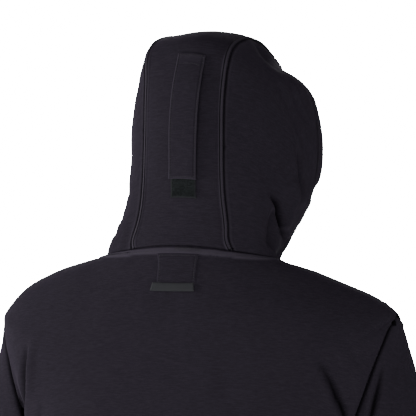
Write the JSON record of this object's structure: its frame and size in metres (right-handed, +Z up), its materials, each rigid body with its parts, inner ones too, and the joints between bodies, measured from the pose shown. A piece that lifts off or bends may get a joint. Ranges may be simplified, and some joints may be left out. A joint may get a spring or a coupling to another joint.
{
  "type": "zip-up hoodie",
  "caption": "Zip-up hooded sweatshirt in the form it has when worn, hood up and turned, with ribbed hem and cuffs, a strap down the hood and a pull tab that swings.",
  "frame": {"origin": "the middle between the two points where the shoulder seams meet the neck seam, where the garment rests on its wearer's shoulders", "axes": "+Z up along the wearer's trunk, -Y out of the garment's front, +Y out of its back, +X to the wearer's left"},
  "size_m": [0.6916, 0.3369, 0.9469],
  "materials": {
    "black_fleece": "matt brushed-back jersey, black with a slight violet tint",
    "black_rib": "matt 2 by 2 rib",
    "hook_and_loop": "fuzzy loop pile, greenish black",
    "grey_label": "matt grey, plain",
    "zip_tape": "matt woven tape",
    "gunmetal": "dark satin metal"
  },
  "bodies": {
    "garment": {"back": "black_fleece", "front_left": "black_fleece", "front_right": "black_fleece", "sleeve_left": "black_fleece", "sleeve_right": "black_fleece", "cuff_left": "black_rib", "cuff_right": "black_rib", "hem_band": "black_rib", "hood_centre": "black_fleece", "hood_side_left": "black_fleece", "hood_side_right": "black_fleece", "hood_strap": "black_fleece", "hood_patch": "hook_and_loop", "neck_tab": "black_fleece", "neck_label": "grey_label", "zip_tape_left": "zip_tape", "zip_tape_right": "zip_tape", "zip_chain": "gunmetal", "zip_slider": "gunmetal"},
    "pull_tab": {"zip_pull": "gunmetal"}
  },
  "joints": [
    {"name": "pull_tab_swing", "type": "hinge", "parent": "garment", "child": "pull_tab", "pos_m": [0.00013, -0.08237, -0.04133], "axis": [-1, 0, 0], "range_deg": [-12, 140]}
  ]
}
